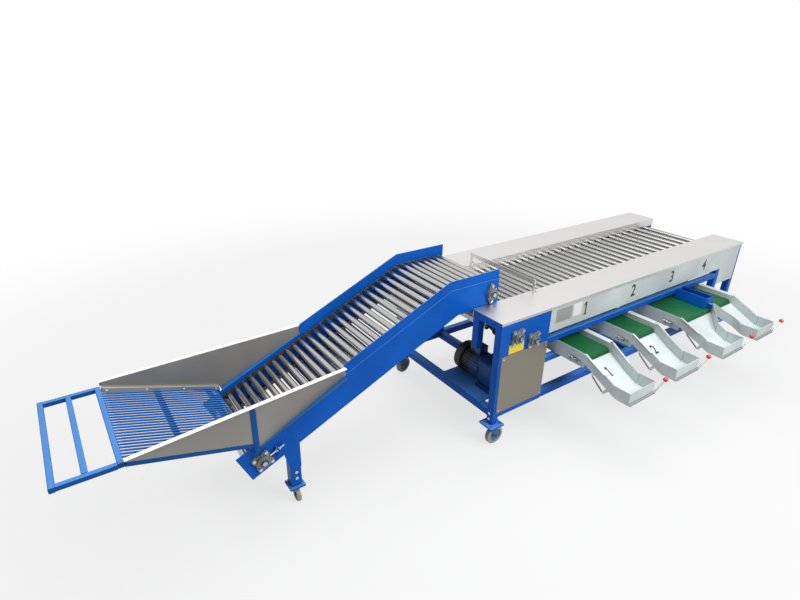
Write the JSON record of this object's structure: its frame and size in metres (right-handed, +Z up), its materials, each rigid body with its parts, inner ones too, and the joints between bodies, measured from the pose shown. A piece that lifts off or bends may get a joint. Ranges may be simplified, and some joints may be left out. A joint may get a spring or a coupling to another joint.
{
  "type": "fruit grading machine",
  "caption": "Roller fruit grading machine with loading hopper, inclined roller elevator, spreading roller bed, cross belts and gated discharge chutes on a castered frame.",
  "frame": {"origin": "on the floor under the middle of the machine's length and depth", "axes": "+X from the loading hopper towards the end of the roller bed, +Y from the chute side to the back, +Z up"},
  "size_m": [4.961, 1.682, 1.067],
  "materials": {
    "blue_paint": "gloss",
    "stainless": "satin",
    "roller_steel": "polished",
    "chain_steel": "oiled",
    "cast_bearing": "painted",
    "zinc": "zinc plated",
    "motor_black": "satin",
    "belt_green": "smooth",
    "pale_paint": "satin",
    "knob_red": "gloss",
    "tyre_grey": "matt",
    "tyre_cream": "matt",
    "shaft_steel": "turned"
  },
  "bodies": {
    "machine": {"main_frame": "blue_paint", "body_panels": "blue_paint", "elevator_side_plates": "blue_paint", "elevator_frame": "blue_paint", "hopper_frame": "blue_paint", "gearboxes": "blue_paint", "conveyor_divider": "blue_paint", "service_door": "stainless", "side_covers": "stainless", "entry_bar": "stainless", "hopper_walls": "stainless", "bed_rollers": "roller_steel", "elevator_rollers": "roller_steel", "bed_links": "chain_steel", "elevator_links": "chain_steel", "drive_chains": "chain_steel", "flange_bearings": "cast_bearing", "fasteners": "zinc", "gate_spring_1": "zinc", "gate_spring_2": "zinc", "gate_spring_3": "zinc", "gate_spring_4": "zinc", "motors": "motor_black", "conveyor_belts": "belt_green", "number_panel": "pale_paint", "conveyor_frames": "pale_paint", "chute_1": "pale_paint", "chute_2": "pale_paint", "chute_3": "pale_paint", "chute_4": "pale_paint"},
    "caster_fork_1": {"caster_fork_1": "zinc"},
    "caster_wheel_1": {"caster_wheel_1": "tyre_grey"},
    "caster_fork_2": {"caster_fork_2": "zinc"},
    "caster_wheel_2": {"caster_wheel_2": "tyre_grey"},
    "caster_fork_3": {"caster_fork_3": "zinc"},
    "caster_wheel_3": {"caster_wheel_3": "tyre_grey"},
    "caster_fork_4": {"caster_fork_4": "zinc"},
    "caster_wheel_4": {"caster_wheel_4": "tyre_grey"},
    "caster_fork_5": {"caster_fork_5": "zinc"},
    "caster_wheel_5": {"caster_wheel_5": "tyre_cream"},
    "caster_fork_6": {"caster_fork_6": "zinc"},
    "caster_wheel_6": {"caster_wheel_6": "tyre_cream"},
    "gate_1": {"gate_1": "pale_paint", "gate_knob_1": "knob_red"},
    "gate_2": {"gate_2": "pale_paint", "gate_knob_2": "knob_red"},
    "gate_3": {"gate_3": "pale_paint", "gate_knob_3": "knob_red"},
    "gate_4": {"gate_4": "pale_paint", "gate_knob_4": "knob_red"},
    "bed_head_shaft": {"bed_head_shaft": "shaft_steel"},
    "bed_tail_shaft": {"bed_tail_shaft": "shaft_steel"},
    "elevator_head_shaft": {"elevator_head_shaft": "shaft_steel"},
    "elevator_tail_shaft": {"elevator_tail_shaft": "shaft_steel"},
    "layshaft": {"layshaft": "shaft_steel"},
    "drive_sprocket": {"drive_sprocket": "shaft_steel"},
    "conveyor_drive_shaft": {"conveyor_drive_shaft": "shaft_steel"},
    "nose_drum_1": {"nose_drum_1": "shaft_steel"},
    "nose_drum_2": {"nose_drum_2": "shaft_steel"},
    "nose_drum_3": {"nose_drum_3": "shaft_steel"}
  },
  "joints": [
    {"name": "caster_swivel_1", "type": "hinge", "parent": "machine", "child": "caster_fork_1", "pos_m": [-0.2475, -0.217, 0.145], "axis": [0, 0, 1], "continuous": true},
    {"name": "caster_roll_1", "type": "hinge", "parent": "caster_fork_1", "child": "caster_wheel_1", "pos_m": [-0.2195, -0.217, 0.0625], "axis": [0, 1, 0], "continuous": true},
    {"name": "caster_swivel_2", "type": "hinge", "parent": "machine", "child": "caster_fork_2", "pos_m": [-0.2475, 0.773, 0.145], "axis": [0, 0, 1], "continuous": true},
    {"name": "caster_roll_2", "type": "hinge", "parent": "caster_fork_2", "child": "caster_wheel_2", "pos_m": [-0.22011, 0.77882, 0.0625], "axis": [-0.2079, 0.9781, 0], "continuous": true},
    {"name": "caster_swivel_3", "type": "hinge", "parent": "machine", "child": "caster_fork_3", "pos_m": [2.4255, -0.217, 0.145], "axis": [0, 0, 1], "continuous": true},
    {"name": "caster_roll_3", "type": "hinge", "parent": "caster_fork_3", "child": "caster_wheel_3", "pos_m": [2.3975, -0.217, 0.0625], "axis": [0, -1, 0], "continuous": true},
    {"name": "caster_swivel_4", "type": "hinge", "parent": "machine", "child": "caster_fork_4", "pos_m": [2.4255, 0.773, 0.145], "axis": [0, 0, 1], "continuous": true},
    {"name": "caster_roll_4", "type": "hinge", "parent": "caster_fork_4", "child": "caster_wheel_4", "pos_m": [2.39811, 0.77882, 0.0625], "axis": [-0.2079, -0.9781, 0], "continuous": true},
    {"name": "caster_swivel_5", "type": "hinge", "parent": "machine", "child": "caster_fork_5", "pos_m": [-1.4485, 0.0362, 0.0928], "axis": [0, 0, 1], "continuous": true},
    {"name": "caster_roll_5", "type": "hinge", "parent": "caster_fork_5", "child": "caster_wheel_5", "pos_m": [-1.4485, 0.01828, 0.04], "axis": [1, 0, 0], "continuous": true},
    {"name": "caster_swivel_6", "type": "hinge", "parent": "machine", "child": "caster_fork_6", "pos_m": [-1.4485, 0.5198, 0.0928], "axis": [0, 0, 1], "continuous": true},
    {"name": "caster_roll_6", "type": "hinge", "parent": "caster_fork_6", "child": "caster_wheel_6", "pos_m": [-1.44386, 0.50249, 0.04], "axis": [0.9659, 0.2588, 0], "continuous": true},
    {"name": "gate_lift_1", "type": "hinge", "parent": "machine", "child": "gate_1", "pos_m": [0.3605, -0.666, 0.4917], "axis": [-1, 0, 0], "range_deg": [0, 50], "stiffness_Nm_per_rad": 1.5, "deforming": ["gate_spring_1"]},
    {"name": "gate_lift_2", "type": "hinge", "parent": "machine", "child": "gate_2", "pos_m": [0.8375, -0.666, 0.4917], "axis": [-1, 0, 0], "range_deg": [0, 50], "stiffness_Nm_per_rad": 1.5, "deforming": ["gate_spring_2"]},
    {"name": "gate_lift_3", "type": "hinge", "parent": "machine", "child": "gate_3", "pos_m": [1.3405, -0.693, 0.49901], "axis": [-1, 0, 0], "range_deg": [0, 50], "stiffness_Nm_per_rad": 1.5, "deforming": ["gate_spring_3"]},
    {"name": "gate_lift_4", "type": "hinge", "parent": "machine", "child": "gate_4", "pos_m": [1.789, -0.693, 0.49901], "axis": [-1, 0, 0], "range_deg": [0, 50], "stiffness_Nm_per_rad": 1.5, "deforming": ["gate_spring_4"]},
    {"name": "bed_head_spin", "type": "hinge", "parent": "machine", "child": "bed_head_shaft", "pos_m": [-0.1415, 0.278, 0.745], "axis": [0, 1, 0], "continuous": true},
    {"name": "bed_tail_spin", "type": "hinge", "parent": "machine", "child": "bed_tail_shaft", "pos_m": [2.3275, 0.278, 0.745], "axis": [0, 1, 0], "continuous": true},
    {"name": "elevator_head_spin", "type": "hinge", "parent": "machine", "child": "elevator_head_shaft", "pos_m": [-0.1405, 0.278, 0.928], "axis": [0, 1, 0], "continuous": true},
    {"name": "elevator_tail_spin", "type": "hinge", "parent": "machine", "child": "elevator_tail_shaft", "pos_m": [-1.6225, 0.278, 0.372], "axis": [0, 1, 0], "continuous": true},
    {"name": "layshaft_spin", "type": "hinge", "parent": "machine", "child": "layshaft", "pos_m": [-0.0015, 0.278, 0.687], "axis": [0, 1, 0], "continuous": true},
    {"name": "drive_sprocket_spin", "type": "hinge", "parent": "machine", "child": "drive_sprocket", "pos_m": [-0.0775, 0.278, 0.37], "axis": [0, 1, 0], "continuous": true},
    {"name": "conveyor_drive_spin", "type": "hinge", "parent": "machine", "child": "conveyor_drive_shaft", "pos_m": [1.0735, 0.706, 0.5466], "axis": [1, 0, 0], "continuous": true},
    {"name": "nose_drum_spin_1", "type": "hinge", "parent": "machine", "child": "nose_drum_1", "pos_m": [0.3695, -0.429, 0.5466], "axis": [1, 0, 0], "continuous": true},
    {"name": "nose_drum_spin_2", "type": "hinge", "parent": "machine", "child": "nose_drum_2", "pos_m": [0.8465, -0.429, 0.5466], "axis": [1, 0, 0], "continuous": true},
    {"name": "nose_drum_spin_3", "type": "hinge", "parent": "machine", "child": "nose_drum_3", "pos_m": [1.5525, -0.471, 0.5466], "axis": [1, 0, 0], "continuous": true}
  ],
  "couplings": [
    {"joint": "bed_tail_spin", "follows": "bed_head_spin", "ratio": 1},
    {"joint": "elevator_head_spin", "follows": "bed_head_spin", "ratio": 1},
    {"joint": "elevator_tail_spin", "follows": "bed_head_spin", "ratio": 1},
    {"joint": "layshaft_spin", "follows": "bed_head_spin", "ratio": 1},
    {"joint": "drive_sprocket_spin", "follows": "bed_head_spin", "ratio": 1},
    {"joint": "nose_drum_spin_1", "follows": "conveyor_drive_spin", "ratio": 1},
    {"joint": "nose_drum_spin_2", "follows": "conveyor_drive_spin", "ratio": 1},
    {"joint": "nose_drum_spin_3", "follows": "conveyor_drive_spin", "ratio": 1}
  ]
}
